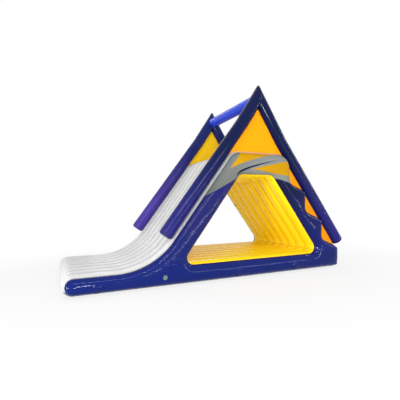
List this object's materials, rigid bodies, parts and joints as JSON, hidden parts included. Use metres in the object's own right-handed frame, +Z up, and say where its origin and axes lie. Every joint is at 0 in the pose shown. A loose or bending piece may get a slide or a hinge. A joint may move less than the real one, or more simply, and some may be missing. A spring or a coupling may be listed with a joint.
{
  "type": "floating water slide",
  "caption": "Inflatable floating water slide with climbing steps on one side, a platform between two A-frames, a ribbed slide, and a through opening under the platform.",
  "frame": {"origin": "on the surface it rests on, in the middle of its length and width", "axes": "+X from the landing nose of the slide towards the climbing steps, +Y across towards the side with no inflation valve, +Z up"},
  "size_m": [6.8726, 2.9694, 4.4874],
  "materials": {
    "blue_skin": "coated fabric, semi-gloss",
    "patch": "coated fabric, semi-gloss",
    "frame_skin": "coated fabric, semi-gloss",
    "crossbar_skin": "coated fabric, glossy",
    "white_skin": "coated fabric, semi-gloss",
    "cap_skin": "coated fabric, semi-gloss",
    "lining": "coated fabric, satin",
    "infill": "coated fabric, satin",
    "web": "uncoated fabric, matt",
    "valve_plastic": "moulded",
    "relief_plastic": "moulded",
    "ring_steel": "polished stainless"
  },
  "bodies": {
    "float": {"climbing_step_1": "blue_skin", "climbing_step_2": "blue_skin", "climbing_step_3": "blue_skin", "base_end": "blue_skin", "base_bottom": "blue_skin", "near_base_side": "blue_skin", "far_base_side": "blue_skin", "near_slide_leg_side": "blue_skin", "far_slide_leg_side": "blue_skin", "near_stair_leg_side": "blue_skin", "far_stair_leg_side": "blue_skin", "anchor_patch_1": "patch", "anchor_patch_2": "patch", "anchor_patch_3": "patch", "anchor_patch_4": "patch", "anchor_patch_5": "patch", "anchor_patch_6": "patch", "near_frame_front_leg": "frame_skin", "near_frame_back_leg": "frame_skin", "far_frame_front_leg": "frame_skin", "far_frame_back_leg": "frame_skin", "crossbar": "crossbar_skin", "slide_deck": "white_skin", "platform_deck": "white_skin", "near_cap": "cap_skin", "far_cap": "cap_skin", "opening_floor": "lining", "opening_back_wall": "lining", "opening_ceiling": "lining", "opening_front_wall": "lining", "near_infill": "infill", "far_infill": "infill", "rib_web_1": "web", "rib_web_2": "web", "rib_web_3": "web", "rib_web_4": "web", "rib_web_5": "web", "rib_web_6": "web", "rib_web_7": "web", "valve_body": "valve_plastic", "relief_body": "relief_plastic"},
    "valve_cap": {"valve_cap": "valve_plastic"},
    "valve_stem": {"valve_stem": "valve_plastic"},
    "relief_poppet": {"relief_poppet": "relief_plastic"},
    "anchor_ring_1": {"anchor_ring_1": "ring_steel"},
    "anchor_ring_2": {"anchor_ring_2": "ring_steel"},
    "anchor_ring_3": {"anchor_ring_3": "ring_steel"},
    "anchor_ring_4": {"anchor_ring_4": "ring_steel"},
    "anchor_ring_5": {"anchor_ring_5": "ring_steel"},
    "anchor_ring_6": {"anchor_ring_6": "ring_steel"}
  },
  "joints": [
    {"name": "valve_cap_turn", "type": "hinge", "parent": "float", "child": "valve_cap", "pos_m": [-1.5363, -1.47594, 0.22789], "axis": [0, -1, 0], "range_deg": [0, 90]},
    {"name": "valve_stem_press", "type": "slide", "parent": "float", "child": "valve_stem", "axis": [0, 1, 0], "range_m": [0, 0.008], "stiffness_N_per_m": 300, "springref_m": -0.003},
    {"name": "relief_poppet_lift", "type": "slide", "parent": "float", "child": "relief_poppet", "axis": [-0.8108, 0, -0.5854], "range_m": [0, 0.003], "stiffness_N_per_m": 300, "springref_m": -0.003},
    {"name": "anchor_ring_1_swing", "type": "hinge", "parent": "float", "child": "anchor_ring_1", "pos_m": [-2.8363, -1.45461, 0.11288], "axis": [-1, 0, 0], "range_deg": [-25, 135]},
    {"name": "anchor_ring_2_swing", "type": "hinge", "parent": "float", "child": "anchor_ring_2", "pos_m": [0.1637, -1.45789, 0.12646], "axis": [-1, 0, 0], "range_deg": [-25, 135]},
    {"name": "anchor_ring_3_swing", "type": "hinge", "parent": "float", "child": "anchor_ring_3", "pos_m": [1.7637, -1.45789, 0.12646], "axis": [-1, 0, 0], "range_deg": [-25, 135]},
    {"name": "anchor_ring_4_swing", "type": "hinge", "parent": "float", "child": "anchor_ring_4", "pos_m": [-2.8363, 1.45461, 0.11288], "axis": [1, 0, 0], "range_deg": [-25, 135]},
    {"name": "anchor_ring_5_swing", "type": "hinge", "parent": "float", "child": "anchor_ring_5", "pos_m": [0.1637, 1.45789, 0.12646], "axis": [1, 0, 0], "range_deg": [-25, 135]},
    {"name": "anchor_ring_6_swing", "type": "hinge", "parent": "float", "child": "anchor_ring_6", "pos_m": [1.7637, 1.45789, 0.12646], "axis": [1, 0, 0], "range_deg": [-25, 135]}
  ]
}
